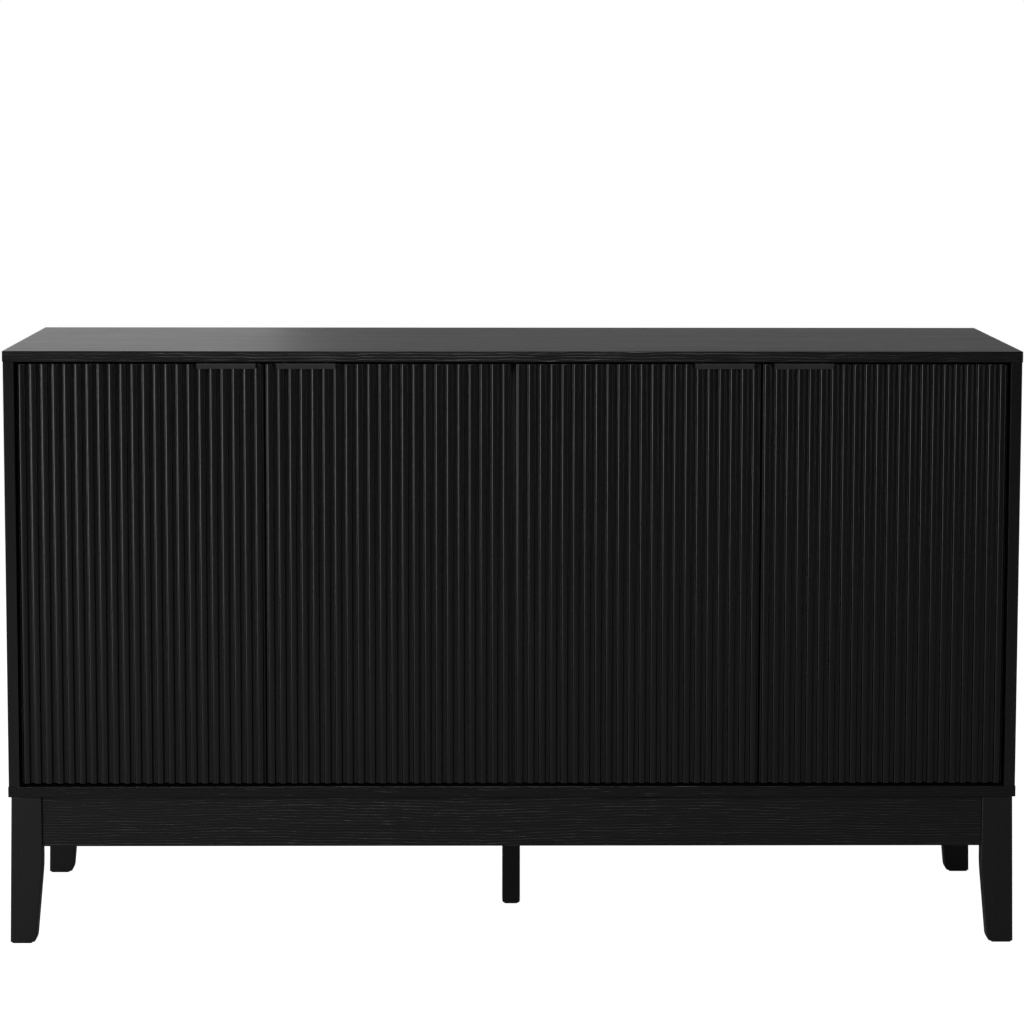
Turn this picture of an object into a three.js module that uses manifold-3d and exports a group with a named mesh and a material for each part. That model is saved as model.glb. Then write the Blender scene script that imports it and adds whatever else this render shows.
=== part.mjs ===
// A low cupboard with four reeded doors on a splayed-leg base.
//
// Millimetres, +Z up, doors facing -Y. The origin is on the floor, under the middle of the top.
// The doors turn on vertical pins inside 35 mm hinge cups. Doors 1 and 3, counted from the left,
// hang on their left edge, and doors 2 and 4 on their right edge.

import * as THREE from 'three';
import { mergeVertices } from 'three/addons/utils/BufferGeometryUtils.js';
import Module from 'manifold-3d';

const wasm = await Module();
wasm.setup();

// ---------------------------------------------------------------- carcass
const WIDTH = 1400;
const DEPTH = 400;
const HEIGHT = 830;
const BOARD = 15;
const SIDE_INSET = 1;
const BASE_HEIGHT = 208;
const FRONT = -DEPTH / 2;
const BACK = DEPTH / 2;
const FLOOR_TOP = BASE_HEIGHT + BOARD;
const CEILING = HEIGHT - BOARD;
const INNER_HEIGHT = CEILING - FLOOR_TOP;
const SIDE_INNER = WIDTH / 2 - SIDE_INSET - BOARD;

const BACK_PANEL = 3;
const BACK_PANEL_Y = 187.5;
const GROOVE_DEPTH = 5.4;
const GROOVE_WIDTH = 3.8;
const PANEL_IN_GROOVE = 5;
const BACK_SEAM = 1;

// ---------------------------------------------------------------- doors
const OUTER_GAP = 3.3;
const PAIR_GAP = 2.3;
const CENTRE_GAP = 6;
const TOP_GAP = 3.2;
const BOTTOM_GAP = 3.6;
const DOOR_RECESS = 3;
const DOOR_WIDTH = (2 * SIDE_INNER - 2 * OUTER_GAP - 2 * PAIR_GAP - CENTRE_GAP) / 4;
const DOOR_HEIGHT = INNER_HEIGHT - TOP_GAP - BOTTOM_GAP;
const DOOR_BOTTOM = FLOOR_TOP + BOTTOM_GAP;
const DOOR_FRONT = FRONT + DOOR_RECESS;

const SLAB = 16;
const REED_COUNT = 22;
const REED_WIDTH = 8.7;
const REED_DEPTH = 5.5;
const REED_LEDGE = 2.5;
const REED_SHOULDER = 2.2;
const REED_CROWN = 0.5;
const REED_PITCH = (DOOR_WIDTH - 2 * REED_LEDGE - REED_WIDTH) / (REED_COUNT - 1);
const DOOR_THICKNESS = SLAB + REED_DEPTH;

const PULL_WIDTH = 81;
const PULL_LIP = 6.3;
const PULL_SHEET = 1.3;
const PULL_STANDOFF = 1.4;
const PULL_INSET = { left_hung: 10.2, right_hung: 15.7 };
const PULL_REACH = 19;
const PULL_SCREW_SPACING = 56;
const PULL_SCREW_HOLE = 2.2;
const PULL_CORNER = 1.4;

// ---------------------------------------------------------------- hinges
const PIVOT_FROM_EDGE = 16;
const PIVOT_FROM_FRONT = 13;
const HINGE_FROM_END = 90;
const CUP_FROM_EDGE = 21.5;
const CUP_BORE = 17.5;
const CUP_RADIUS = 17.2;
const CUP_INNER = 16.3;
const CUP_FLANGE = 19;
const CUP_DEPTH = 12.8;
const CUP_FLOOR = 0.8;
const CUP_SIDES = 28;
const EAR_REACH = 27;
const EAR_WIDTH = 12;
const LUG_NEAR = 8.2;
const LUG_FAR = 12.2;
const PIN_RADIUS = 1.75;
const PIN_BORE = 2.1;
const PIN_HALF = 12;
const EYE_RADIUS = 3;
const ARM_WIDTH = 13;
const ARM_SHEET = 2.2;
const ARM_START = 25;
const ARM_END = 72;
const DIVIDER_BEHIND_PIVOT = 16;
const FIT = 0.1;
const SLIDE = 0.3;

// ---------------------------------------------------------------- shelves
const SHELF_TOP = 526;
const SHELF_FRONT = -150;
const SHELF_BACK = 183;
const SHELF_SIDE_GAP = 1;
const PIN_HOLE = 2.7;
const PIN_HOLE_DEPTH = 7;
const SHELF_PIN = 2.4;
const SHELF_PIN_COLLAR = 4;
const SHELF_PIN_OUT = 8;
const SHELF_PIN_IN = 6.4;
const SHELF_PIN_YS = [-115, 148];
const SHELF_PIN_STEP = 64;
const SHELF_PIN_Z = SHELF_TOP - BOARD - SHELF_PIN - FIT;

// ---------------------------------------------------------------- base
const LEG_THICK = 24;
const LEG_FRONT_INSET = 2;
const LEG_BACK_INSET = 4;
const LEG_TOP_OUTER = 696.1;
const LEG_FOOT_OUTER = WIDTH / 2;
const LEG_INNER = 654.1;
const APRON_HEIGHT = 70.5;
const APRON_RECESS = 5;
const SIDE_APRON_OUTER = 694;
const APRON_BOTTOM = BASE_HEIGHT - APRON_HEIGHT;
const GLIDE = 2;
const CENTRE_LEG = 26;
const CENTRE_LEG_Y = 10;
const BRACKET_SHEET = 2;
const BRACKET_HEIGHT = 45;
const BRACKET_TOP_GAP = 8;
const BRACKET_FLANGE = 20;
const BRACKET_SPAN = 67;

const FRONT_LEG_Y = FRONT + LEG_FRONT_INSET + LEG_THICK / 2;
const BACK_LEG_Y = BACK - LEG_BACK_INSET - LEG_THICK / 2;
const FRONT_APRON_Y = FRONT + APRON_RECESS + BOARD / 2;
const BACK_APRON_Y = BACK_LEG_Y;

// ---------------------------------------------------------------- finishes
const FINISHES = {
  black_wood: { color: 0x1e1d1c, roughness: 0.5, metalness: 0 },
  leg_wood: { color: 0x1a1918, roughness: 0.55, metalness: 0 },
  interior: { color: 0x24221f, roughness: 0.6, metalness: 0 },
  back_board: { color: 0x2b2825, roughness: 0.8, metalness: 0 },
  black_metal: { color: 0x2c2c2d, roughness: 0.45, metalness: 0.8 },
  nickel_steel: { color: 0x9a9c9e, roughness: 0.3, metalness: 1 },
  zinc_steel: { color: 0x7d7f80, roughness: 0.5, metalness: 1 },
  glide_plastic: { color: 0x111111, roughness: 0.8, metalness: 0 },
};

const sideboard = new THREE.Group();

function addPiece(name, geometry, finish, x, y, z) {
  const mesh = new THREE.Mesh(geometry, new THREE.MeshStandardMaterial(FINISHES[finish]));
  mesh.name = name;
  mesh.position.set(x, y, z);
  sideboard.add(mesh);
  return mesh;
}

// ---------------------------------------------------------------- geometry helpers
// A box between two corners.
function boxBetween(low, high) {
  const size = low.map((value, axis) => high[axis] - value);
  const middle = low.map((value, axis) => (high[axis] + value) / 2);
  return new THREE.BoxGeometry(...size).translate(...middle);
}

// A plan outline (x, y) raised from z = 0.
function raise(shape, height, curveSegments = 4) {
  return new THREE.ExtrudeGeometry(shape, { depth: height, bevelEnabled: false, curveSegments });
}

// A front-view outline (x, z) given a thickness centred on y = 0.
function standUp(shape, thickness, curveSegments = 4) {
  return raise(shape, thickness, curveSegments)
    .translate(0, 0, -thickness / 2)
    .rotateX(Math.PI / 2);
}

function cylinderAlong(axis, radius, length, sides) {
  const cylinder = new THREE.CylinderGeometry(radius, radius, length, sides);
  if (axis === 'x') return cylinder.rotateZ(Math.PI / 2);
  if (axis === 'z') return cylinder.rotateX(Math.PI / 2);
  return cylinder;
}

function solidOf(geometry) {
  const bare = geometry.clone();
  bare.deleteAttribute('normal');
  bare.deleteAttribute('uv');
  const merged = mergeVertices(bare);
  return new wasm.Manifold(new wasm.Mesh({
    numProp: 3,
    vertProperties: new Float32Array(merged.attributes.position.array),
    triVerts: new Uint32Array(merged.index.array),
  }));
}

function geometryOf(solid) {
  const { vertProperties, triVerts } = solid.getMesh();
  const geometry = new THREE.BufferGeometry();
  geometry.setAttribute('position', new THREE.BufferAttribute(vertProperties, 3));
  geometry.setIndex(new THREE.BufferAttribute(triVerts, 1));
  geometry.computeVertexNormals();
  return geometry;
}

function join(...geometries) {
  return geometryOf(geometries.map(solidOf).reduce((whole, piece) => whole.add(piece)));
}

function cut(geometry, ...tools) {
  return geometryOf(tools.map(solidOf).reduce((whole, tool) => whole.subtract(tool), solidOf(geometry)));
}

// A strip of even thickness along a line of plan points, as an outline.
function ribbon(points, thickness) {
  const along = points.map(([x, y]) => new THREE.Vector2(x, y));
  const sideways = (index) => {
    const before = along[Math.max(index - 1, 0)];
    const after = along[Math.min(index + 1, along.length - 1)];
    const heading = after.clone().sub(before).normalize();
    return new THREE.Vector2(-heading.y, heading.x).multiplyScalar(thickness / 2);
  };
  const left = along.map((point, index) => point.clone().add(sideways(index)));
  const right = along.map((point, index) => point.clone().sub(sideways(index)));
  return new THREE.Shape([...left, ...right.reverse()]);
}

function roundedRectangle(width, depth, radius) {
  const x = width / 2;
  const y = depth / 2;
  const shape = new THREE.Shape();
  shape.moveTo(-x + radius, -y);
  shape.lineTo(x - radius, -y);
  shape.quadraticCurveTo(x, -y, x, -y + radius);
  shape.lineTo(x, y - radius);
  shape.quadraticCurveTo(x, y, x - radius, y);
  shape.lineTo(-x + radius, y);
  shape.quadraticCurveTo(-x, y, -x, y - radius);
  shape.lineTo(-x, -y + radius);
  shape.quadraticCurveTo(-x, -y, -x + radius, -y);
  return shape;
}

// ---------------------------------------------------------------- boards
// The groove that holds the back panels, cut into the face of a board that looks towards them.
function backGroove(z) {
  const reach = SIDE_INNER + GROOVE_DEPTH;
  return boxBetween(
    [-reach, BACK_PANEL_Y - GROOVE_WIDTH / 2, z - GROOVE_DEPTH],
    [reach, BACK_PANEL_Y + GROOVE_WIDTH / 2, z + GROOVE_DEPTH],
  );
}

function addTopAndBottom() {
  const board = new THREE.BoxGeometry(WIDTH, DEPTH, BOARD);
  addPiece('top_panel', cut(board, backGroove(-BOARD / 2)), 'black_wood', 0, 0, HEIGHT - BOARD / 2);
  addPiece('bottom_panel', cut(board, backGroove(BOARD / 2)), 'black_wood',
    0, 0, BASE_HEIGHT + BOARD / 2);
}

// Shelf pin holes bored into the face of an upright at x.
function pinHoles(x) {
  const holes = [];
  for (const y of SHELF_PIN_YS) {
    for (const step of [-1, 0, 1]) {
      const z = SHELF_PIN_Z + step * SHELF_PIN_STEP - FLOOR_TOP;
      holes.push(cylinderAlong('x', PIN_HOLE, 2 * PIN_HOLE_DEPTH, 12).translate(x, y, z));
    }
  }
  return holes;
}

function addSides() {
  for (const [name, side] of [['left_side_panel', -1], ['right_side_panel', 1]]) {
    const upright = boxBetween([-BOARD / 2, FRONT, 0], [BOARD / 2, BACK - SIDE_INSET, INNER_HEIGHT]);
    const face = -side * BOARD / 2;
    const groove = boxBetween(
      [face - GROOVE_DEPTH, BACK_PANEL_Y - GROOVE_WIDTH / 2, -1],
      [face + GROOVE_DEPTH, BACK_PANEL_Y + GROOVE_WIDTH / 2, INNER_HEIGHT + 1],
    );
    addPiece(name, cut(upright, groove, ...pinHoles(face)), 'black_wood',
      side * (SIDE_INNER + BOARD / 2), 0, FLOOR_TOP);
  }
}

function addDivider() {
  const front = DOOR_FRONT + PIVOT_FROM_FRONT + DIVIDER_BEHIND_PIVOT;
  const back = BACK_PANEL_Y - BACK_PANEL / 2 - SLIDE;
  const upright = boxBetween([-BOARD / 2, front, 0], [BOARD / 2, back, INNER_HEIGHT]);
  const holes = [...pinHoles(-BOARD / 2), ...pinHoles(BOARD / 2)];
  addPiece('centre_divider', cut(upright, ...holes), 'interior', 0, 0, FLOOR_TOP);
}

function addBackPanels() {
  const low = FLOOR_TOP - PANEL_IN_GROOVE;
  const high = CEILING + PANEL_IN_GROOVE;
  const width = SIDE_INNER + PANEL_IN_GROOVE - BACK_SEAM / 2;
  for (const [name, side] of [['back_panel_left', -1], ['back_panel_right', 1]]) {
    addPiece(name, new THREE.BoxGeometry(width, BACK_PANEL, high - low), 'back_board',
      side * (BACK_SEAM / 2 + width / 2), BACK_PANEL_Y, (low + high) / 2);
  }
}

// ---------------------------------------------------------------- shelves and their pins
function shelfPin(side) {
  const profile = [
    [0, -SHELF_PIN_IN], [SHELF_PIN, -SHELF_PIN_IN], [SHELF_PIN, FIT],
    [SHELF_PIN_COLLAR, FIT], [SHELF_PIN_COLLAR, 1], [SHELF_PIN, 1],
    [SHELF_PIN, SHELF_PIN_OUT], [0, SHELF_PIN_OUT],
  ];
  const points = profile.map(([radius, along]) => new THREE.Vector2(radius, along));
  return new THREE.LatheGeometry(points, 10).rotateZ(-side * Math.PI / 2);
}

function addShelves() {
  const width = SIDE_INNER - BOARD / 2 - 2 * SHELF_SIDE_GAP;
  const depth = SHELF_BACK - SHELF_FRONT;
  for (const [bay, side] of [['left', -1], ['right', 1]]) {
    addPiece(`shelf_${bay}`, new THREE.BoxGeometry(width, depth, BOARD), 'interior',
      side * (BOARD / 2 + SHELF_SIDE_GAP + width / 2), (SHELF_FRONT + SHELF_BACK) / 2,
      SHELF_TOP - BOARD / 2);
    const walls = [['outer', side * SIDE_INNER, -side], ['inner', side * BOARD / 2, side]];
    for (const [wall, x, outward] of walls) {
      SHELF_PIN_YS.forEach((y, index) => {
        const end = ['front', 'back'][index];
        addPiece(`shelf_pin_${bay}_${wall}_${end}`, shelfPin(outward), 'nickel_steel',
          x, y, SHELF_PIN_Z);
      });
    }
  }
}

// ---------------------------------------------------------------- doors
// Plan outline of a door: a flat back and round-shouldered reeds with flat valleys in front.
function doorOutline() {
  const half = DOOR_WIDTH / 2;
  const shape = new THREE.Shape();
  shape.moveTo(-half, DOOR_THICKNESS);
  shape.lineTo(-half, REED_DEPTH);
  for (let reed = 0; reed < REED_COUNT; reed += 1) {
    const left = -half + REED_LEDGE + reed * REED_PITCH;
    const right = left + REED_WIDTH;
    const shoulder = REED_CROWN + REED_SHOULDER;
    shape.lineTo(left, REED_DEPTH);
    shape.lineTo(left, shoulder);
    shape.quadraticCurveTo(left, REED_CROWN, left + REED_SHOULDER, REED_CROWN / 2);
    shape.lineTo((left + right) / 2, 0);
    shape.lineTo(right - REED_SHOULDER, REED_CROWN / 2);
    shape.quadraticCurveTo(right, REED_CROWN, right, shoulder);
    shape.lineTo(right, REED_DEPTH);
  }
  shape.lineTo(half, REED_DEPTH);
  shape.lineTo(half, DOOR_THICKNESS);
  return shape;
}

function addDoorPanel(door) {
  const bores = [];
  for (const z of [HINGE_FROM_END, DOOR_HEIGHT - HINGE_FROM_END]) {
    const depth = CUP_DEPTH + SLIDE;
    const bore = cylinderAlong('y', CUP_BORE, 2 * depth, CUP_SIDES);
    const x = door.hand * (CUP_FROM_EDGE - DOOR_WIDTH / 2);
    bores.push(bore.translate(x, DOOR_THICKNESS, z));
  }
  const panel = cut(raise(doorOutline(), DOOR_HEIGHT, 3), ...bores);
  addPiece(`door_${door.name}`, panel, 'black_wood', door.centre, DOOR_FRONT, DOOR_BOTTOM);
}

// A folded tab: a plate screwed to the top edge of the door with a lip hanging over the reeds.
function addPull(door) {
  const half = PULL_WIDTH / 2;
  const top = FIT + PULL_SHEET;
  const lipOutline = new THREE.Shape();
  lipOutline.moveTo(-half, top);
  lipOutline.lineTo(-half + PULL_CORNER / 2, -PULL_LIP + PULL_CORNER);
  lipOutline.lineTo(-half + PULL_CORNER, -PULL_LIP);
  lipOutline.lineTo(half - PULL_CORNER, -PULL_LIP);
  lipOutline.lineTo(half - PULL_CORNER / 2, -PULL_LIP + PULL_CORNER);
  lipOutline.lineTo(half, top);
  const lipFront = -PULL_STANDOFF - PULL_SHEET;
  const lip = standUp(lipOutline, PULL_SHEET).translate(0, lipFront + PULL_SHEET / 2, 0);
  const plate = boxBetween([-half, lipFront, FIT], [half, PULL_REACH, top]);
  const holes = [-1, 1].map((end) => cylinderAlong('z', PULL_SCREW_HOLE, 4, 12)
    .translate(end * PULL_SCREW_SPACING / 2, PULL_REACH / 2 + 2, top / 2));
  const freeEdge = door.centre + door.hand * DOOR_WIDTH / 2;
  const x = freeEdge - door.hand * (PULL_INSET[door.hang] + half);
  addPiece(`pull_${door.name}`, cut(join(lip, plate), ...holes), 'black_metal',
    x, DOOR_FRONT, DOOR_BOTTOM + DOOR_HEIGHT);
}

// ---------------------------------------------------------------- hinges
// Hinge frames have their origin on the pin, x towards the free edge of a left-hung door and
// y into the carcass. hand is 1 on a left-hung door and -1 on a right-hung one.
const CUP_X = CUP_FROM_EDGE - PIVOT_FROM_EDGE;
const DOOR_BACK = DOOR_THICKNESS - PIVOT_FROM_FRONT;

function hingeCup(hand) {
  const floor = DOOR_BACK - CUP_DEPTH;
  const face = DOOR_BACK + FIT;
  const rim = face + 1.2;
  const profile = [
    [0, floor], [CUP_RADIUS, floor], [CUP_RADIUS, face], [CUP_FLANGE, face], [CUP_FLANGE, rim],
    [CUP_INNER, rim], [CUP_INNER, floor + CUP_FLOOR], [0, floor + CUP_FLOOR],
  ];
  const points = profile.map(([radius, y]) => new THREE.Vector2(radius, y));
  const cup = new THREE.LatheGeometry(points, CUP_SIDES).translate(hand * CUP_X, 0, 0);
  const pieces = [cup];
  for (const end of [-1, 1]) {
    const x = hand * (CUP_X + 2);
    const near = Math.min(end * CUP_INNER, end * EAR_REACH);
    const ear = boxBetween([x - EAR_WIDTH / 2, face, near],
      [x + EAR_WIDTH / 2, rim, near + EAR_REACH - CUP_INNER]);
    const lug = boxBetween([-4.2, floor + CUP_FLOOR / 2, Math.min(end * LUG_NEAR, end * LUG_FAR)],
      [4.2, 4, Math.max(end * LUG_NEAR, end * LUG_FAR)]);
    pieces.push(ear, lug);
  }
  return cut(join(...pieces), cylinderAlong('z', PIN_BORE, 2 * LUG_FAR + 2, 16));
}

// The gooseneck leaves the cup, goes round the path of the door's corner and ends in a body
// on a plate that is screwed to the upright. wall is the distance from the pin to the upright.
function hingeArm(hand, wall) {
  const middle = 6 - wall;
  const route = [
    [1.2, 0.5], [12, 5.2], [14.6, 9.8], [13.8, 15.6], [8.4, 20.6],
    [middle + 7, 22.4], [middle + 2, 25.6], [middle, 33],
  ];
  const neck = raise(ribbon(route.map(([x, y]) => [hand * x, y]), ARM_SHEET), ARM_WIDTH)
    .translate(0, 0, -ARM_WIDTH / 2);
  const across = (near, far) => [Math.min(hand * near, hand * far), Math.max(hand * near, hand * far)];
  const [plateLow, plateHigh] = across(FIT - wall, FIT - wall + 2);
  const [bodyLow, bodyHigh] = across(FIT - wall + 1, FIT - wall + 9);
  return join(
    cylinderAlong('z', EYE_RADIUS, ARM_WIDTH, 16),
    cylinderAlong('z', PIN_RADIUS, 2 * PIN_HALF, 12),
    neck,
    boxBetween([bodyLow, ARM_START, -ARM_WIDTH / 2], [bodyHigh, ARM_END, ARM_WIDTH / 2]),
    boxBetween([plateLow, ARM_START + 2, -9], [plateHigh, ARM_END + 4, 9]),
    boxBetween([plateLow, ARM_START + 16, -24], [plateHigh, ARM_START + 32, 24]),
  );
}

function addHinges(door) {
  const x = door.centre + door.hand * (PIVOT_FROM_EDGE - DOOR_WIDTH / 2);
  const y = DOOR_FRONT + PIVOT_FROM_FRONT;
  const heights = { lower: HINGE_FROM_END, upper: DOOR_HEIGHT - HINGE_FROM_END };
  for (const [end, height] of Object.entries(heights)) {
    const z = DOOR_BOTTOM + height;
    addPiece(`hinge_cup_${door.name}_${end}`, hingeCup(door.hand), 'nickel_steel', x, y, z);
    addPiece(`hinge_arm_${door.name}_${end}`, hingeArm(door.hand, door.wall), 'nickel_steel', x, y, z);
  }
}

function addDoors() {
  const outerWall = OUTER_GAP + PIVOT_FROM_EDGE;
  const innerWall = PIVOT_FROM_EDGE - (BOARD - CENTRE_GAP) / 2;
  const innerCentre = CENTRE_GAP / 2 + DOOR_WIDTH / 2;
  const outerCentre = innerCentre + DOOR_WIDTH + PAIR_GAP;
  const doors = [
    { name: 'left_outer', hang: 'left_hung', hand: 1, centre: -outerCentre, wall: outerWall },
    { name: 'left_inner', hang: 'right_hung', hand: -1, centre: -innerCentre, wall: innerWall },
    { name: 'right_inner', hang: 'left_hung', hand: 1, centre: innerCentre, wall: innerWall },
    { name: 'right_outer', hang: 'right_hung', hand: -1, centre: outerCentre, wall: outerWall },
  ];
  for (const door of doors) {
    addDoorPanel(door);
    addPull(door);
    addHinges(door);
  }
}

// ---------------------------------------------------------------- base
// Front view of a leg on the given side: straight and slightly splayed outside, upright against
// the apron inside, then drawn in below a soft knee to a foot with a rounded inner corner.
function legOutline(side) {
  const shape = new THREE.Shape();
  shape.moveTo(side * LEG_TOP_OUTER, BASE_HEIGHT);
  shape.lineTo(side * LEG_FOOT_OUTER, GLIDE);
  shape.lineTo(side * (LEG_INNER + 14.5), GLIDE);
  shape.quadraticCurveTo(side * (LEG_INNER + 10), GLIDE, side * (LEG_INNER + 9.1), 12);
  shape.lineTo(side * (LEG_INNER + 1.6), 92);
  shape.quadraticCurveTo(side * LEG_INNER, 107, side * LEG_INNER, 122);
  shape.lineTo(side * LEG_INNER, BASE_HEIGHT);
  return shape;
}

function addLegs() {
  const footMiddle = (LEG_INNER + 14.5 + LEG_FOOT_OUTER) / 2;
  for (const [row, y] of [['front', FRONT_LEG_Y], ['back', BACK_LEG_Y]]) {
    for (const [hand, side] of [['left', -1], ['right', 1]]) {
      addPiece(`leg_${row}_${hand}`, standUp(legOutline(side), LEG_THICK), 'leg_wood', 0, y, 0);
      addPiece(`glide_${row}_${hand}`, raise(roundedRectangle(28, 21, 3), GLIDE, 2), 'glide_plastic',
        side * footMiddle, y, 0);
    }
  }
}

function addCentreLeg() {
  const outline = new THREE.Shape();
  const half = CENTRE_LEG / 2;
  outline.moveTo(-half, APRON_BOTTOM);
  outline.lineTo(-half, GLIDE + 2);
  outline.lineTo(-half + 2, GLIDE);
  outline.lineTo(half - 2, GLIDE);
  outline.lineTo(half, GLIDE + 2);
  outline.lineTo(half, APRON_BOTTOM);
  addPiece('centre_leg', standUp(outline, CENTRE_LEG), 'leg_wood', 0, CENTRE_LEG_Y, 0);
  addPiece('glide_centre', raise(roundedRectangle(20, 20, 3), GLIDE, 2), 'glide_plastic',
    0, CENTRE_LEG_Y, 0);
  const front = FRONT_APRON_Y + BOARD / 2;
  const back = BACK_APRON_Y - BOARD / 2;
  addPiece('centre_stretcher', new THREE.BoxGeometry(BOARD, back - front, APRON_HEIGHT), 'leg_wood',
    0, (front + back) / 2, APRON_BOTTOM + APRON_HEIGHT / 2);
}

function addAprons() {
  const z = APRON_BOTTOM + APRON_HEIGHT / 2;
  const long = new THREE.BoxGeometry(2 * LEG_INNER - 2 * FIT, BOARD, APRON_HEIGHT);
  addPiece('apron_front', long, 'black_wood', 0, FRONT_APRON_Y, z);
  addPiece('apron_back', long.clone(), 'black_wood', 0, BACK_APRON_Y, z);
  const front = FRONT_LEG_Y + LEG_THICK / 2;
  const back = BACK_LEG_Y - LEG_THICK / 2;
  for (const [hand, side] of [['left', -1], ['right', 1]]) {
    addPiece(`apron_${hand}`, new THREE.BoxGeometry(BOARD, back - front, APRON_HEIGHT), 'black_wood',
      side * (SIDE_APRON_OUTER - BOARD / 2), (front + back) / 2, z);
  }
}

// A folded steel plate across each inside corner, flanged onto the two aprons.
function addCornerBrackets() {
  const inset = BRACKET_SHEET / 2 + FIT;
  const cornerX = SIDE_APRON_OUTER - BOARD - inset;
  const rows = [
    ['front', FRONT_APRON_Y + BOARD / 2 + inset, 1],
    ['back', BACK_APRON_Y - BOARD / 2 - inset, -1],
  ];
  for (const [row, cornerY, inward] of rows) {
    for (const [hand, side] of [['left', -1], ['right', 1]]) {
      const reach = BRACKET_SPAN + BRACKET_FLANGE;
      const plan = ribbon([
        [side * (cornerX - reach), cornerY],
        [side * (cornerX - BRACKET_SPAN), cornerY],
        [side * cornerX, cornerY + inward * BRACKET_SPAN],
        [side * cornerX, cornerY + inward * reach],
      ], BRACKET_SHEET);
      addPiece(`corner_bracket_${row}_${hand}`, raise(plan, BRACKET_HEIGHT), 'zinc_steel',
        0, 0, BASE_HEIGHT - BRACKET_TOP_GAP - BRACKET_HEIGHT);
    }
  }
}

addTopAndBottom();
addSides();
addDivider();
addBackPanels();
addShelves();
addDoors();
addLegs();
addCentreLeg();
addAprons();
addCornerBrackets();

export default sideboard;
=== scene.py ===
"""A low black sideboard with four reeded doors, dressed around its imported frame.

Metres, +Z up, doors facing -Y. Places come from the frame's own boxes and from the named sizes
below, which repeat the CAD's where a finer surface stands for a CAD node.
"""

import math

import bmesh
import bpy
from mathutils import Matrix, Vector


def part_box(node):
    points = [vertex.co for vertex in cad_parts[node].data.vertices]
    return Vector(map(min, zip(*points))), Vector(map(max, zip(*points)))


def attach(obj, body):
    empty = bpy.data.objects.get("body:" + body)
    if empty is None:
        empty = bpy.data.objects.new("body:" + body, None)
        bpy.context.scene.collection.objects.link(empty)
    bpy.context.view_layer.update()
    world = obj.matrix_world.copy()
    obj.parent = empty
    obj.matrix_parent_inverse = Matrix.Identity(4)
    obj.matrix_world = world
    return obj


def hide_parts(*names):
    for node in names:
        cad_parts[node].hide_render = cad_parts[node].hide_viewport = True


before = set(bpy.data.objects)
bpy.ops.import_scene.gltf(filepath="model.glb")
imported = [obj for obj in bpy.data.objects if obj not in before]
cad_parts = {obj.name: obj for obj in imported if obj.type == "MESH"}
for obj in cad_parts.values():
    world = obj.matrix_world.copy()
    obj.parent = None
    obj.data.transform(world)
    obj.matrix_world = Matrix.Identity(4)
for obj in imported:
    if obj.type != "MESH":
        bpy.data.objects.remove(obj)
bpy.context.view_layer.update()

# ---------------------------------------------------------------- driving sizes
ARRIS = 0.0008

REED_COUNT = 22
REED_WIDTH = 0.0087
REED_DEPTH = 0.0055
REED_LEDGE = 0.0025
REED_SHOULDER = 0.0022
REED_CROWN = 0.00025
REED_ROOT = 0.002
DOOR_ARRIS = 0.0004

CUP_BORE = 0.0175
CUP_BORE_DEPTH = 0.0131
CUP_RADIUS = 0.0172
CUP_FLANGE = 0.019
CUP_FROM_PIN = 0.0055
PIN_FROM_EDGE = 0.016
PIN_BEHIND_FRONT = 0.013

LEG_ARRIS = 0.0016
LEG_INNER = 0.6541
LEG_TOP_OUTER = 0.6961
LEG_FOOT_OUTER = 0.7
GLIDE = 0.002

DOORS = ("left_outer", "left_inner", "right_inner", "right_outer")
HANDS = {"left_outer": 1, "left_inner": -1, "right_inner": 1, "right_outer": -1}


def door_body(door):
    return f"{door}_door"


# ---------------------------------------------------------------- camera, floor and light
CAMERA_PLACE = (-0.0438, -4.1704, 1.1875)
CAMERA_TURN = -0.604
CAMERA_TIP = 5.264
CAMERA_ROLL = 0.089
CAMERA_LENS = 102.3
CAMERA_SHIFT = -0.151

# name, place, what it aims at, width and height, watts
LAMPS = (
    ("key_left", (-3.1, -1.9, 0.95), (0, -1.1, 0.7), (2.4, 1.8), 75),
    ("fill_right", (4.0, -3.2, 0.95), (0.1, -0.2, 0.6), (0.6, 1.8), 14),
    ("overhead", (-0.1, -1.7, 2.3), (-0.1, -0.6, 0), (0.7, 0.5), 9),
    ("front_soft", (-0.2, -4.2, 2.9), (0, 0, 0.5), (1.5, 0.8), 38),
    ("top_back", (-0.9, 3.0, 1.7), (-0.4, 0, 0.8), (5.0, 1.8), 7.8),
    ("back_left", (-1.8, 3.0, 1.6), (-0.7, 0, 0.8), (2.7, 1.6), 7),
    ("side_left", (-3.4, 0.9, 1.4), (-0.7, 0, 0.5), (1.8, 1.4), 15),
    ("side_right", (3.4, 0.9, 1.4), (0.7, 0, 0.5), (1.8, 1.4), 15),
)

STUDIO_DIM = (0.03, 0.03, 0.031)
FLOOR_RADIUS = 14
FLOOR_GLOW = 0.98
FLOOR_SEEN = 0.5
FLOOR_REFLECTED = 0.38


def add_camera():
    """The main view: from the front and a little above, tipped down. Angles are in degrees."""
    data = bpy.data.cameras.new("camera")
    data.sensor_width = 36
    data.lens = CAMERA_LENS
    data.shift_y = CAMERA_SHIFT
    data.clip_end = 50
    camera = bpy.data.objects.new("camera", data)
    bpy.context.scene.collection.objects.link(camera)
    turn = Matrix.Rotation(math.radians(CAMERA_TURN), 4, "Z")
    tip = Matrix.Rotation(math.radians(90 - CAMERA_TIP), 4, "X")
    roll = Matrix.Rotation(math.radians(CAMERA_ROLL), 4, "Z")
    camera.matrix_world = Matrix.Translation(CAMERA_PLACE) @ turn @ tip @ roll
    bpy.context.scene.camera = camera


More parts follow.
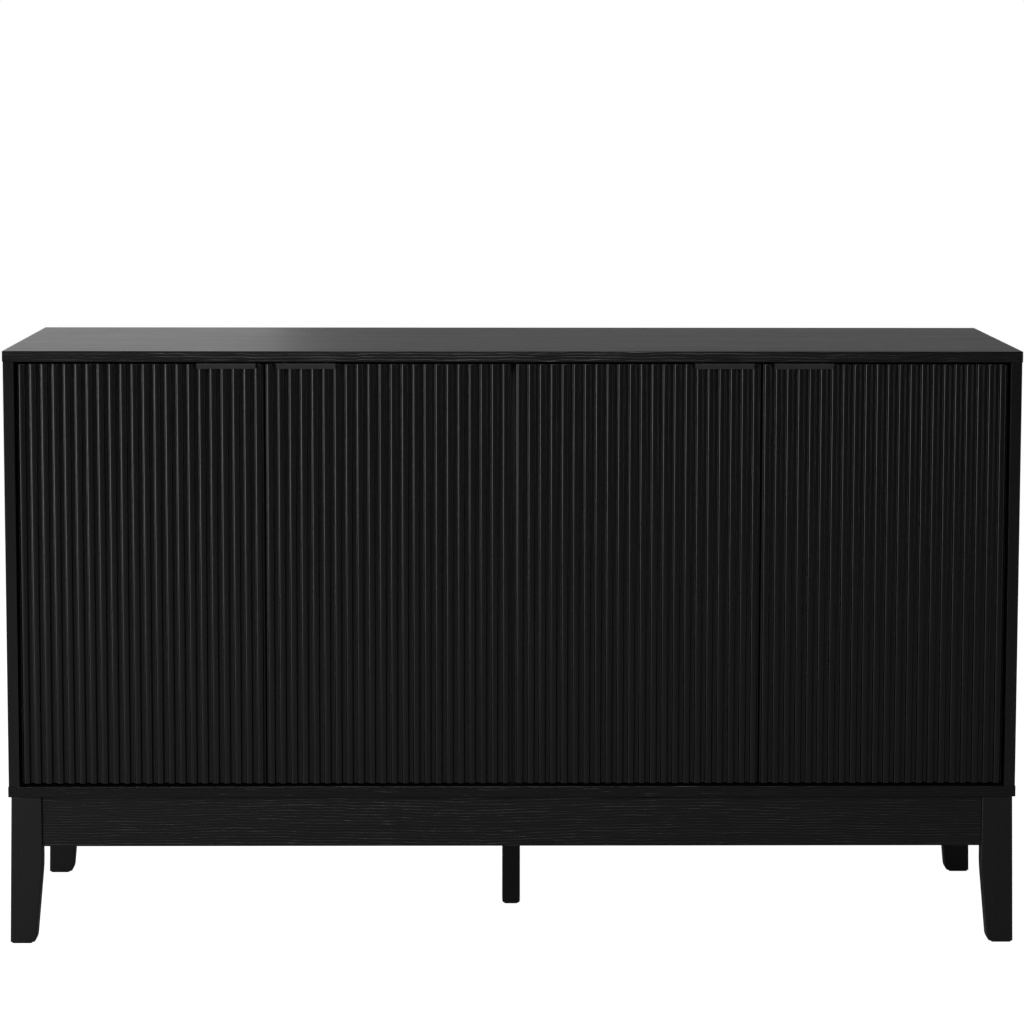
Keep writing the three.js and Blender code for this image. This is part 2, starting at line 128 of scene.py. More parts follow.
def add_light(name, place, aim, size, power):
    data = bpy.data.lights.new(name, "AREA")
    data.shape = "RECTANGLE"
    data.size, data.size_y = size
    data.energy = power
    light = bpy.data.objects.new(name, data)
    light.location = place
    light.rotation_euler = (Vector(aim) - Vector(place)).to_track_quat("-Z", "Y").to_euler()
    light.visible_camera = False
    bpy.context.scene.collection.objects.link(light)


def camera_only(tree, camera_shader, other_shader):
    """Joins two shaders so that the camera sees the first and every other ray the second."""
    path = tree.nodes.new("ShaderNodeLightPath")
    mix = tree.nodes.new("ShaderNodeMixShader")
    tree.links.new(path.outputs["Is Camera Ray"], mix.inputs[0])
    tree.links.new(other_shader, mix.inputs[1])
    tree.links.new(camera_shader, mix.inputs[2])
    return mix.outputs[0]


def add_world():
    """White behind the object for the camera, and a dim studio for what the object reflects."""
    world = bpy.data.worlds.new("studio")
    world.use_nodes = True
    tree = world.node_tree
    tree.nodes.clear()
    seen = tree.nodes.new("ShaderNodeBackground")
    seen.inputs["Color"].default_value = (1, 1, 1, 1)
    dim = tree.nodes.new("ShaderNodeBackground")
    dim.inputs["Color"].default_value = (*STUDIO_DIM, 1)
    output = tree.nodes.new("ShaderNodeOutputWorld")
    tree.links.new(camera_only(tree, seen.outputs[0], dim.outputs[0]), output.inputs[0])
    bpy.context.scene.world = world
    bpy.context.scene.view_settings.view_transform = "Standard"


def add_floor():
    """A pale floor: near white to the camera, and a mid grey in what the object reflects."""
    bpy.ops.mesh.primitive_circle_add(vertices=96, radius=FLOOR_RADIUS, fill_type="NGON")
    floor = bpy.context.object
    floor.name = "floor"
    material = bpy.data.materials.new("pale_floor")
    material.use_nodes = True
    tree = material.node_tree
    tree.nodes.clear()
    glow = tree.nodes.new("ShaderNodeEmission")
    glow.inputs["Strength"].default_value = FLOOR_GLOW
    matt = tree.nodes.new("ShaderNodeBsdfDiffuse")
    matt.inputs["Color"].default_value = (FLOOR_SEEN, FLOOR_SEEN, FLOOR_SEEN, 1)
    both = tree.nodes.new("ShaderNodeAddShader")
    tree.links.new(glow.outputs[0], both.inputs[0])
    tree.links.new(matt.outputs[0], both.inputs[1])
    dim = tree.nodes.new("ShaderNodeBsdfDiffuse")
    dim.inputs["Color"].default_value = (FLOOR_REFLECTED, FLOOR_REFLECTED, FLOOR_REFLECTED, 1)
    output = tree.nodes.new("ShaderNodeOutputMaterial")
    tree.links.new(camera_only(tree, both.outputs[0], dim.outputs[0]), output.inputs[0])
    floor.data.materials.append(material)


# ---------------------------------------------------------------- materials
class Finish:
    """One material's node tree, with short calls for the nodes that the finishes share."""

    def __init__(self, name):
        self.material = bpy.data.materials.new(name)
        self.material.use_nodes = True
        self.tree = self.material.node_tree
        self.tree.nodes.clear()
        output = self.tree.nodes.new("ShaderNodeOutputMaterial")
        self.bsdf = self.tree.nodes.new("ShaderNodeBsdfPrincipled")
        self.link(self.bsdf.outputs[0], output.inputs["Surface"])

    def link(self, source, socket):
        self.tree.links.new(source, socket)

    def set(self, **values):
        for name, value in values.items():
            self.bsdf.inputs[name.replace("_", " ")].default_value = value

    def coordinates(self, scale):
        source = self.tree.nodes.new("ShaderNodeTexCoord")
        mapping = self.tree.nodes.new("ShaderNodeMapping")
        mapping.inputs["Scale"].default_value = scale
        self.link(source.outputs["Object"], mapping.inputs["Vector"])
        return mapping.outputs["Vector"]

    def noise(self, vector, scale=1.0, detail=3.0, roughness=0.5):
        node = self.tree.nodes.new("ShaderNodeTexNoise")
        node.inputs["Scale"].default_value = scale
        node.inputs["Detail"].default_value = detail
        node.inputs["Roughness"].default_value = roughness
        self.link(vector, node.inputs["Vector"])
        return node.outputs["Fac"]

    def scaled(self, vector, scale):
        node = self.tree.nodes.new("ShaderNodeVectorMath")
        node.operation = "MULTIPLY"
        self.link(vector, node.inputs[0])
        node.inputs[1].default_value = scale
        return node.outputs[0]

    def warped(self, vector, axis, frequency, reach):
        """The vector swung sideways by a slow noise, so that lines along the axis wander."""
        noise = self.tree.nodes.new("ShaderNodeTexNoise")
        noise.inputs["Scale"].default_value = frequency
        noise.inputs["Detail"].default_value = 2
        self.link(self.scaled(vector, stretched(1, axis, 2.2)), noise.inputs["Vector"])
        swing = self.tree.nodes.new("ShaderNodeVectorMath")
        swing.operation = "MULTIPLY_ADD"
        self.link(noise.outputs["Color"], swing.inputs[0])
        swing.inputs[1].default_value = stretched(0, axis, 2 * reach)
        self.link(vector, swing.inputs[2])
        return swing.outputs[0]

    def rows(self, vector, axis, pitch):
        """Even rows along an axis, pitch of them a metre, from 0 to 1 across."""
        across = self.tree.nodes.new("ShaderNodeVectorMath")
        across.operation = "DOT_PRODUCT"
        self.link(vector, across.inputs[0])
        across.inputs[1].default_value = stretched(0, axis, math.tau * pitch)
        wave = self.maths("SINE", across.outputs["Value"], 0)
        return self.maths("MULTIPLY_ADD", wave, 0.5, 0.5)

    def remap(self, value, low, high, to_low, to_high):
        node = self.tree.nodes.new("ShaderNodeMapRange")
        self.link(value, node.inputs["Value"])
        for name, number in zip(("From Min", "From Max", "To Min", "To Max"),
                                (low, high, to_low, to_high)):
            node.inputs[name].default_value = number
        return node.outputs["Result"]

    def maths(self, operation, *values):
        node = self.tree.nodes.new("ShaderNodeMath")
        node.operation = operation
        for socket, value in zip(node.inputs, values):
            if isinstance(value, (int, float)):
                socket.default_value = value
            else:
                self.link(value, socket)
        return node.outputs[0]

    def colour(self, value, dark, light):
        node = self.tree.nodes.new("ShaderNodeMix")
        node.data_type = "RGBA"
        self.link(value, node.inputs["Factor"])
        node.inputs[6].default_value = (*dark, 1)
        node.inputs[7].default_value = (*light, 1)
        self.link(node.outputs[2], self.bsdf.inputs["Base Color"])

    def rough(self, value):
        self.link(value, self.bsdf.inputs["Roughness"])

    def bump(self, height, distance, strength=1.0):
        node = self.tree.nodes.new("ShaderNodeBump")
        node.inputs["Strength"].default_value = strength
        node.inputs["Distance"].default_value = distance
        self.link(height, node.inputs["Height"])
        self.link(node.outputs[0], self.bsdf.inputs["Normal"])


def stretched(along, along_axis, across):
    """Noise frequencies, per metre, for a grain that runs along one axis."""
    return tuple(along if axis == along_axis else across for axis in "xyz")


DARKEST = 0.002


def black_wood(name, axis, figure=1.0, depth=0.00012, rough=0.26, pale=0.0085, pitch=330, even=0.4):
    """Black-stained open-grain wood along one axis: wandering lines and pores in slow bands.

    figure is how far the grain wanders, depth the relief in metres, rough and pale the finish of
    the ridges, pitch the lines in a metre, and even how regular they are, from 0 to 1.
    """
    finish = Finish(name)
    flow = finish.warped(finish.coordinates((1, 1, 1)), axis, frequency=3.2, reach=0.006 * figure)
    bands = finish.noise(finish.scaled(flow, stretched(1.5, axis, 70)), detail=3, roughness=0.6)
    lines = finish.noise(finish.scaled(flow, stretched(3, axis, pitch)), detail=2, roughness=0.6)
    pores = finish.noise(finish.scaled(flow, stretched(22, axis, 900)), detail=2, roughness=0.6)
    uneven = finish.warped(flow, axis, frequency=18, reach=0.002)
    rows = finish.rows(uneven, axis, pitch * 0.75)
    loose = finish.maths("MULTIPLY", finish.remap(lines, 0.3, 0.7, 0, 1), 1 - even)
    ridges = finish.maths("ADD", loose, finish.maths("MULTIPLY", rows, even))
    pits = finish.remap(pores, 0.36, 0.5, 0, 1)
    fine = finish.maths("MULTIPLY", pits, 0.15)
    swell = finish.maths("ADD", finish.maths("MULTIPLY", bands, figure), fine)
    finish.bump(finish.maths("ADD", ridges, swell), depth)
    banded = finish.maths("MULTIPLY", ridges, finish.remap(bands, 0.3, 0.65, 0.2, 1))
    tone = finish.maths("MULTIPLY", banded, finish.remap(pits, 0, 1, 0.55, 1))
    finish.colour(tone, (DARKEST, DARKEST, DARKEST), (pale, pale * 0.99, pale * 0.98))
    finish.rough(finish.remap(tone, 0, 1, rough + 0.12, rough))
    return finish.material


def black_metal():
    finish = Finish("black_powder_coat")
    speckle = finish.noise(finish.coordinates((1, 1, 1)), scale=2600, detail=2)
    cloud = finish.noise(finish.coordinates((1, 1, 1)), scale=40, detail=2)
    finish.colour(cloud, (0.016, 0.016, 0.0165), (0.026, 0.026, 0.0265))
    finish.rough(finish.remap(speckle, 0.3, 0.7, 0.5, 0.62))
    finish.bump(speckle, 0.00005)
    finish.set(Metallic=0.35)
    return finish.material


def plated_steel(name, dark, light, rough, axis="z"):
    finish = Finish(name)
    brush = finish.noise(finish.coordinates(stretched(90, axis, 2200)), detail=3)
    cloud = finish.noise(finish.coordinates((1, 1, 1)), scale=160, detail=3)
    finish.colour(cloud, dark, light)
    finish.rough(finish.remap(brush, 0.3, 0.7, rough - 0.06, rough + 0.09))
    finish.bump(brush, 0.00003)
    finish.set(Metallic=1.0)
    return finish.material


def moulded_plastic(name, dark, light):
    finish = Finish(name)
    grain = finish.noise(finish.coordinates((1, 1, 1)), scale=1500, detail=2)
    finish.colour(grain, dark, light)
    finish.rough(finish.remap(grain, 0.3, 0.7, 0.45, 0.6))
    finish.bump(grain, 0.00006)
    return finish.material


def hardboard():
    """The back panels: dark-printed hardboard with short fibres and a faint roller pattern. Its colour
    is partly the print's own dark tone and partly painted light, lifted to stand in for light that
    barely reaches the inside of the bays.
    """
    finish = Finish("dark_hardboard")
    fibres = finish.noise(finish.coordinates((420, 420, 260)), detail=5, roughness=0.7)
    cloud = finish.noise(finish.coordinates((3, 3, 5)), detail=3)
    tone = finish.maths("ADD", finish.maths("MULTIPLY", fibres, 0.7),
                        finish.maths("MULTIPLY", cloud, 0.4))
    # Partly painted light: the print's dark tone is lifted to brighten the dimly lit inside of the
    # bays.
    finish.colour(tone, (0.045, 0.042, 0.039), (0.1, 0.093, 0.087))
    finish.rough(finish.remap(fibres, 0.3, 0.7, 0.6, 0.78))
    finish.bump(fibres, 0.00025)
    return finish.material


WOOD_X = black_wood("black_wood_along_x", "x", figure=0.4, depth=0.0003, rough=0.24, pitch=420)
WOOD_EDGE = black_wood("black_wood_edge", "x", figure=0.2, depth=0.00032, rough=0.18, even=0.75)
WOOD_APRON = black_wood("black_wood_apron", "x", figure=0.9, depth=0.00046, pitch=320, even=0.6)
# The inside and shelf woods are the black wood made about seven times paler than outside: painted
# light, standing in for light that barely reaches into the bays.
WOOD_INSIDE_PAINTED_LIGHT = black_wood("black_wood_inside_painted_light", "z", depth=0.00008, rough=0.4, pale=0.06)
WOOD_SHELF_PAINTED_LIGHT = black_wood("black_wood_shelf_painted_light", "x", depth=0.00008, rough=0.4, pale=0.06)
WOOD_Y = black_wood("black_wood_along_y", "y")
WOOD_Z = black_wood("black_wood_along_z", "z", depth=0.0001, rough=0.22, pale=0.007)
WOOD_DOOR = black_wood("black_wood_reeds", "z", figure=0.25, depth=0.00004, rough=0.17, pale=0.006)
WOOD_LEG = black_wood("black_wood_legs", "z", figure=0.6, depth=0.00007, rough=0.36)
METAL = black_metal()
NICKEL = plated_steel("nickel_plate", (0.42, 0.42, 0.43), (0.6, 0.6, 0.6), 0.26)
ZINC = plated_steel("zinc_plate", (0.3, 0.31, 0.32), (0.44, 0.45, 0.46), 0.42)
PLASTIC = moulded_plastic("black_plastic", (0.01, 0.01, 0.01), (0.018, 0.018, 0.018))
HARDBOARD = hardboard()


# ---------------------------------------------------------------- mesh helpers
def add_piece(name, mesh, material, body, stands_for=(), sharp=35):
    """A finished mesh as a piece: smooth but for edges over the sharp angle, in degrees."""
    fix = bmesh.new()
    fix.from_mesh(mesh)
    bmesh.ops.recalc_face_normals(fix, faces=fix.faces)
    fix.to_mesh(mesh)
    fix.free()
    mesh.polygons.foreach_set("use_smooth", [True] * len(mesh.polygons))
    mesh.set_sharp_from_angle(angle=math.radians(sharp))
    mesh.materials.clear()
    mesh.materials.append(material)
    piece = bpy.data.objects.new(name, mesh)
    bpy.context.scene.collection.objects.link(piece)
    even = piece.modifiers.new("even_normals", "WEIGHTED_NORMAL")
    even.keep_sharp = True
    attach(piece, body)
    if stands_for:
        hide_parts(*stands_for)
    return piece


def mesh_of(name, verts, faces):
    mesh = bpy.data.meshes.new(name)
    mesh.from_pydata(verts, [], faces)
    return mesh


def inset_outline(outline, distance):
    """A closed outline's points moved inward along the mitre of their two edges."""
    count = len(outline)
    area = sum(outline[i][0] * outline[(i + 1) % count][1] - outline[(i + 1) % count][0] * outline[i][1]
               for i in range(count))
    side = 1 if area > 0 else -1
    moved = []
    for i, point in enumerate(outline):
        here = Vector(point)
        before = (here - Vector(outline[i - 1])).normalized()
        after = (Vector(outline[(i + 1) % count]) - here).normalized()
        first = Vector((-before.y, before.x)) * side
        second = Vector((-after.y, after.x)) * side
        moved.append(tuple(here + (first + second) * distance / max(0.4, 1 + first.dot(second))))
    return moved


def prism(outline, low, high, arris, steps=2):
    """An outline raised from low to high, with both ends' edges rounded by arris."""
    rings = []
    for step in range(steps + 1):
        angle = math.pi / 2 * step / steps
        rings.append((arris * (1 - math.sin(angle)), low + arris * (1 - math.cos(angle))))
    rings += [(inset, low + high - height) for inset, height in reversed(rings)]
    count = len(outline)
    verts, faces = [], []
    for inset, height in rings:
        verts += [(a, b, height) for a, b in inset_outline(outline, inset)]
    for ring in range(len(rings) - 1):
        start = ring * count
        for i in range(count):
            j = (i + 1) % count
            faces.append((start + i, start + j, start + count + j, start + count + i))
    faces.append(tuple(reversed(range(count))))
    faces.append(tuple(range(len(verts) - count, len(verts))))
    return verts, faces


def bezier(start, control, end, steps):
    """The points of a quadratic curve, without its first."""
    points = []
    for step in range(1, steps + 1):
        t = step / steps
        points.append(tuple((1 - t) ** 2 * a + 2 * t * (1 - t) * b + t * t * c
                            for a, b, c in zip(start, control, end)))
    return points


def softened(node, material, arris=ARRIS, body="carcass", steps=3):
    """A CAD node's own shape, its flat faces made whole and its hard edges rounded."""
    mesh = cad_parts[node].data.copy()
    work = bmesh.new()
    work.from_mesh(mesh)
    bmesh.ops.remove_doubles(work, verts=work.verts, dist=1e-6)
    bmesh.ops.dissolve_limit(work, angle_limit=math.radians(1), verts=work.verts, edges=work.edges)
    hard = [edge for edge in work.edges
            if len(edge.link_faces) == 2 and edge.calc_face_angle() > math.radians(40)]
    bmesh.ops.bevel(work, geom=hard, offset=arris, segments=steps, profile=0.5, affect="EDGES",
                    clamp_overlap=True)
    work.to_mesh(mesh)
    work.free()
    return add_piece(f"{node}_shown", mesh, material, body, [node], sharp=50)


def carve(piece, cutter_mesh):
    """Cuts a closed mesh out of a piece and keeps the result as the piece's own mesh."""
    cutter = bpy.data.objects.new("cutter", cutter_mesh)
    bpy.context.scene.collection.objects.link(cutter)
    step = piece.modifiers.new("carve", "BOOLEAN")
    step.object = cutter
    step.operation = "DIFFERENCE"
    step.solver = "EXACT"
    bpy.context.view_layer.update()
    done = bpy.data.meshes.new_from_object(piece.evaluated_get(bpy.context.evaluated_depsgraph_get()))
    piece.modifiers.remove(step)
    piece.data = done
    bpy.data.objects.remove(cutter)


# ---------------------------------------------------------------- boards
def band_front(board):
    """Gives a board's front edge, with its rounded corners, the finish of glued-on edging."""
    board.data.materials.append(WOOD_EDGE)
    for face in board.data.polygons:
        if face.normal.y < -0.5:
            face.material_index = 1


def add_boards():
    for node in ("top_panel", "bottom_panel"):
        band_front(softened(node, WOOD_X))
    for node in ("left_side_panel", "right_side_panel"):
        softened(node, WOOD_Z, arris=0.0006)
    # The divider takes the paler inside wood, whose extra lightness is painted light.
    softened("centre_divider", WOOD_INSIDE_PAINTED_LIGHT, arris=0.0005)
    for hand in ("left", "right"):
        # The shelves take a paler copy of the black wood, whose extra lightness is painted light.
        softened(f"shelf_{hand}", WOOD_SHELF_PAINTED_LIGHT)
        softened(f"back_panel_{hand}", HARDBOARD, arris=0.0003, steps=1)
    for node in ("apron_front", "apron_back"):
        softened(node, WOOD_APRON)
    for node in ("apron_left", "apron_right"):
        softened(node, WOOD_Y)
    softened("centre_stretcher", WOOD_Y)


# ---------------------------------------------------------------- doors
def reeded_outline(width, thickness):
    """Plan of a door about its middle, from the reeds' crowns at 0 to its back."""
    half = width / 2
    pitch = (width - 2 * REED_LEDGE - REED_WIDTH) / (REED_COUNT - 1)
    flat = REED_WIDTH / 2 - REED_SHOULDER
    outline = [(-half, thickness), (-half, REED_DEPTH)]
    for reed in range(REED_COUNT):
        left = -half + REED_LEDGE + reed * pitch
        middle = left + REED_WIDTH / 2
        right = left + REED_WIDTH
        wall = REED_CROWN + REED_SHOULDER
        root = REED_DEPTH - REED_ROOT
        outline += [(left - REED_ROOT, REED_DEPTH)]
        outline += bezier((left - REED_ROOT, REED_DEPTH), (left, REED_DEPTH), (left, root), 5)
        outline += [(left, wall)]
        outline += bezier((left, wall), (left, REED_CROWN), (middle - flat, REED_CROWN), 6)
        outline += [(middle + part * flat, REED_CROWN * part * part) for part in (-0.5, 0, 0.5, 1)]
        outline += bezier((middle + flat, REED_CROWN), (right, REED_CROWN), (right, wall), 6)
        outline += [(right, root)]
        outline += bezier((right, root), (right, REED_DEPTH), (right + REED_ROOT, REED_DEPTH), 5)
    return outline + [(half, REED_DEPTH), (half, thickness)]


def bore(centre, radius, depth, sides=48):
    """A round cutter along Y, from behind centre's y to depth in front of it."""
    angles = [math.tau * i / sides for i in range(sides)]
    circle = [(math.cos(angle) * radius, math.sin(angle) * radius) for angle in angles]
    verts = [(centre.x + a, centre.y + y, centre.z + b) for y in (0.01, -depth) for a, b in circle]
    faces = [(i, (i + 1) % sides, sides + (i + 1) % sides, sides + i) for i in range(sides)]
    return verts, faces + [tuple(reversed(range(sides))), tuple(range(sides, 2 * sides))]


def joined(parts):
    """Several (verts, faces) as one."""
    verts, faces = [], []
    for more_verts, more_faces in parts:
        start = len(verts)
        verts += more_verts
        faces += [tuple(start + i for i in face) for face in more_faces]
    return verts, faces


def add_door(door):
    node = f"door_{door}"
    low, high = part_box(node)
    outline = reeded_outline(high.x - low.x, high.y - low.y)
    verts, faces = prism(outline, low.z, high.z, DOOR_ARRIS)
    middle = (low.x + high.x) / 2
    verts = [(middle + a, low.y + b, c) for a, b, c in verts]
    mesh = mesh_of(f"{node}_shown", verts, faces)
    piece = add_piece(f"{node}_shown", mesh, WOOD_DOOR, door_body(door), [node])
    bores = []
    for end in ("lower", "upper"):
        cup_low, cup_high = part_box(f"hinge_cup_{door}_{end}")
        pin_x = low.x + PIN_FROM_EDGE if HANDS[door] > 0 else high.x - PIN_FROM_EDGE
        centre = Vector((pin_x + HANDS[door] * CUP_FROM_PIN, high.y, (cup_low.z + cup_high.z) / 2))
        bores.append(bore(centre, CUP_BORE, CUP_BORE_DEPTH))
    carve(piece, mesh_of("bores", *joined(bores)))
    piece.data.set_sharp_from_angle(angle=math.radians(35))


# ---------------------------------------------------------------- base
def leg_outline(side):
    """Front view of a leg: a straight splayed outside, a soft knee and a rounded inner foot."""
    low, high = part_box("leg_front_right")
    top = high.z
    outline = [(LEG_TOP_OUTER, top), (LEG_FOOT_OUTER, GLIDE), (LEG_INNER + 0.0145, GLIDE)]
    outline += bezier(outline[-1], (LEG_INNER + 0.01, GLIDE), (LEG_INNER + 0.0091, 0.012), 8)
    outline += [(LEG_INNER + 0.0016, 0.092)]
    outline += bezier(outline[-1], (LEG_INNER, 0.107), (LEG_INNER, 0.122), 14)
    outline += [(LEG_INNER, top)]
    return [(side * x, z) for x, z in outline]


def add_legs():
    for row in ("front", "back"):
        for hand, side in (("left", -1), ("right", 1)):
            node = f"leg_{row}_{hand}"
            low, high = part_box(node)
            verts, faces = prism(leg_outline(side), low.y, high.y, LEG_ARRIS, 4)
            verts = [(a, c, b) for a, b, c in verts]
            add_piece(f"{node}_shown", mesh_of(node, verts, faces), WOOD_LEG, "carcass",
                      [node])
    softened("centre_leg", WOOD_LEG, arris=0.0015, steps=4)


# ---------------------------------------------------------------- turned and folded parts
def lathe(profile, sides=32):
    """A profile of (radius, height) turned about local Z; it starts and ends on the axis."""
    verts, faces, rows = [], [], []
    for radius, height in profile:
        if radius == 0:
            rows.append([len(verts)] * sides)
            verts.append((0, 0, height))
            continue
        rows.append(list(range(len(verts), len(verts) + sides)))
        verts += [(radius * math.cos(math.tau * i / sides), radius * math.sin(math.tau * i / sides),
                   height) for i in range(sides)]
    for lower, upper in zip(rows, rows[1:]):
        for i in range(sides):
            j = (i + 1) % sides
            corners = [lower[i], lower[j], upper[j], upper[i]]
            face = tuple(dict.fromkeys(corners))
            if len(face) > 2:
                faces.append(face)
    return verts, faces


def placed(part, place, along=(0, 0, 1), turn=0.0):
    """A part moved so that its origin is at place and its local Z points along a direction."""
    verts, faces = part
    aim = Vector((0, 0, 1)).rotation_difference(Vector(along)).to_matrix().to_4x4()
    matrix = Matrix.Translation(place) @ aim @ Matrix.Rotation(turn, 4, "Z")
    return [tuple(matrix @ Vector(vert)) for vert in verts], faces


def block(low, high, arris, steps=2):
    """A box with its upright edges rounded as an outline and its ends rounded as a prism."""
    outline = rounded_outline(low[0], low[1], high[0], high[1], arris * 1.5)
    return prism(outline, low[2], high[2], arris, steps)


def rounded_outline(low_a, low_b, high_a, high_b, radius, steps=4):
    """A rectangle in plan with round corners."""
    centres = [(high_a - radius, low_b + radius, -90), (high_a - radius, high_b - radius, 0),
               (low_a + radius, high_b - radius, 90), (low_a + radius, low_b + radius, 180)]
    outline = []
    for a, b, start in centres:
        for step in range(steps + 1):
            angle = math.radians(start + 90 * step / steps)
            outline.append((a + radius * math.cos(angle), b + radius * math.sin(angle)))
    return outline


def shown(node, part, material, body="carcass", sharp=35):
    """A finer mesh that stands for a CAD node."""
    return add_piece(f"{node}_shown", mesh_of(node, *part), material, body, [node], sharp)


def screw_head(radius, height):
    """A pan head on local Z with a cross recess cut into its crown."""
    dome = lathe([(0, 0), (radius, 0), (radius, height * 0.35), (radius * 0.86, height * 0.8),
                  (radius * 0.5, height), (0, height)], 24)
    arm, half = radius * 0.55, radius * 0.13
    cross = [(half, half), (half, arm), (-half, arm), (-half, half), (-arm, half), (-arm, -half),
             (-half, -half), (-half, -arm), (half, -arm), (half, -half), (arm, -half), (arm, half)]
    blank = bpy.data.objects.new("blank", mesh_of("blank", *dome))
    bpy.context.scene.collection.objects.link(blank)
    carve(blank, mesh_of("recess", *prism(cross, height * 0.45, height * 1.5, 0, 1)))
    verts = [tuple(vert.co) for vert in blank.data.vertices]
    faces = [tuple(face.vertices) for face in blank.data.polygons]
    bpy.data.objects.remove(blank)
    return verts, faces


SMALL_SCREW = screw_head(0.0034, 0.0014)
LARGE_SCREW = screw_head(0.0045, 0.0022)
FLAT_SCREW = screw_head(0.0038, 0.0006)


# ---------------------------------------------------------------- pulls
PULL_SHEET = 0.0013
PULL_BEND = 0.0017
PULL_LIP_CORNER = 0.0016
PULL_PLATE_CORNER = 0.004


def corner_cut(distance, radius):
    """How far a round corner of that radius falls back, at a distance from its end."""
    short = max(radius - distance, 0)
    return radius - math.sqrt(radius * radius - short * short)


def pull_section(low, high, from_end):
    """The folded sheet's section in (y, z), at a distance from the nearer end."""
    lip = low.z + corner_cut(from_end, PULL_LIP_CORNER)
    rear = high.y - corner_cut(from_end, PULL_PLATE_CORNER)
    outer, inner = [], []
    for step in range(7):
        angle = math.pi / 2 * step / 6
        for points, radius in ((outer, PULL_BEND), (inner, PULL_BEND - PULL_SHEET)):
            points.append((low.y + PULL_BEND - radius * math.sin(angle),
                           high.z - PULL_BEND + radius * math.cos(angle)))
    return ([(rear, high.z), *outer, (low.y, lip), (low.y + PULL_SHEET, lip), *reversed(inner),
             (rear, high.z - PULL_SHEET)])


def add_pull(door):
    node = f"pull_{door}"
    low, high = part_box(node)
    near = [0, 0.0002, 0.0005, 0.001, 0.0016, 0.0024, 0.004]
    stations = [low.x + step for step in near] + [high.x - step for step in reversed(near)]
    verts, faces = [], []
    for x in stations:
        section = pull_section(low, high, min(x - low.x, high.x - x))
        verts += [(x, y, z) for y, z in section]
    count = len(section)
    for row in range(len(stations) - 1):
        for i in range(count):
            j = (i + 1) % count
            start = row * count
            faces.append((start + i, start + j, start + count + j, start + count + i))
    faces += [tuple(range(count)), tuple(range(len(verts) - count, len(verts)))]
    shown(node, (verts, faces), METAL, door_body(door))
    middle = (low.x + high.x) / 2
    screws = [placed(FLAT_SCREW, (middle + side * 0.028, low.y + 0.0142, high.z - 0.0001))
              for side in (-1, 1)]
    add_piece(f"pull_screws_{door}", mesh_of("pull_screws", *joined(screws)), ZINC, door_body(door))


# ---------------------------------------------------------------- hinges
def hinge_cup(hand):
    """The cup about its pin: x to the free edge of a left-hung door, y into the carcass."""
    face, rim, floor = 0.0086, 0.0098, -0.0043
    bowl = lathe([(0, floor), (0.0168, floor), (CUP_RADIUS, floor + 0.0005), (CUP_RADIUS, face),
                  (CUP_FLANGE, face), (CUP_FLANGE, rim - 0.0005), (0.0186, rim), (0.0168, rim),
                  (0.0163, rim - 0.0006), (0.0162, floor + 0.003), (0.0144, floor + 0.0009),
                  (0.006, floor + 0.0009), (0.0052, floor + 0.0014), (0, floor + 0.0014)], 56)
    parts = [([(hand * CUP_FROM_PIN + a, z, b) for a, b, z in bowl[0]], bowl[1])]
    for end in (-1, 1):
        middle = hand * (CUP_FROM_PIN + 0.002)
        ear = block((middle - 0.006, min(end * 0.0168, end * 0.027), face),
                    (middle + 0.006, max(end * 0.0168, end * 0.027), rim), 0.0004)
        parts.append(([(a, z, b) for a, b, z in ear[0]], ear[1]))
        parts.append(placed(SMALL_SCREW, (middle, rim - 0.0001, end * 0.0225), (0, 1, 0)))
        lug = (min(end * 0.0082, end * 0.0122), max(end * 0.0082, end * 0.0122))
        parts.append(block((-0.0042, floor + 0.0006, lug[0]), (0.0042, 0.004, lug[1]), 0.0005))
    return joined(parts)


def smooth_route(points, steps=6):
    """A smooth curve through plan points."""
    route = []
    padded = [points[0], *points, points[-1]]
    for before, start, end, after in zip(padded, padded[1:], padded[2:], padded[3:]):
        for step in range(steps):
            t = step / steps
            route.append(tuple(0.5 * (2 * b + (c - a) * t + (2 * a - 5 * b + 4 * c - d) * t * t
                                      + (3 * b - a - 3 * c + d) * t ** 3)
                               for a, b, c, d in zip(before, start, end, after)))
    return [*route, points[-1]]


def strip(route, thickness):
    """The closed outline of a strip of even thickness along a plan route."""
    left, right = [], []
    for i, point in enumerate(route):
        heading = Vector(route[min(i + 1, len(route) - 1)]) - Vector(route[max(i - 1, 0)])
        heading.normalize()
        side = Vector((-heading.y, heading.x)) * thickness / 2
        left.append(tuple(Vector(point) + side))
        right.append(tuple(Vector(point) - side))
    return left + right[::-1]


